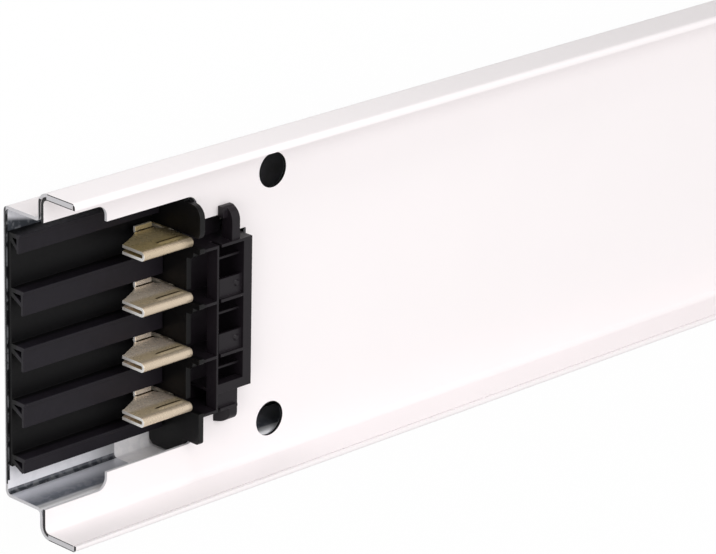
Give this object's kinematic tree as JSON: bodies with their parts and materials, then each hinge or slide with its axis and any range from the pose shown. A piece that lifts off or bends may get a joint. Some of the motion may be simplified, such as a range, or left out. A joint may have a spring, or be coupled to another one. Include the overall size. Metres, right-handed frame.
{
  "type": "busway section",
  "caption": "Straight low-power busway section: white sheet casing with forward flanges, hairpin contacts at the joint end and blades at the far end",
  "frame": {"origin": "centre of the bounding box at its lowest face, on the back wall", "axes": "+X along the section from the joint end to the blades, +Y across it, +Z out of the web to the flange lips"},
  "size_m": [1.047, 0.097, 0.0283],
  "materials": {
    "casing_paint": "satin",
    "black_moulding": "satin",
    "grey_moulding": "satin",
    "contact_metal": "satin",
    "bar_metal": "satin"
  },
  "bodies": {
    "root": {"back_channel": "casing_paint", "front_cover": "casing_paint", "joint_tray": "black_moulding", "connector_block": "black_moulding", "contact_1": "contact_metal", "contact_2": "contact_metal", "contact_3": "contact_metal", "contact_4": "contact_metal", "conductor_1": "bar_metal", "conductor_2": "bar_metal", "conductor_3": "bar_metal", "conductor_4": "bar_metal", "support_combs": "grey_moulding", "end_comb": "grey_moulding"}
  },
  "joints": []
}
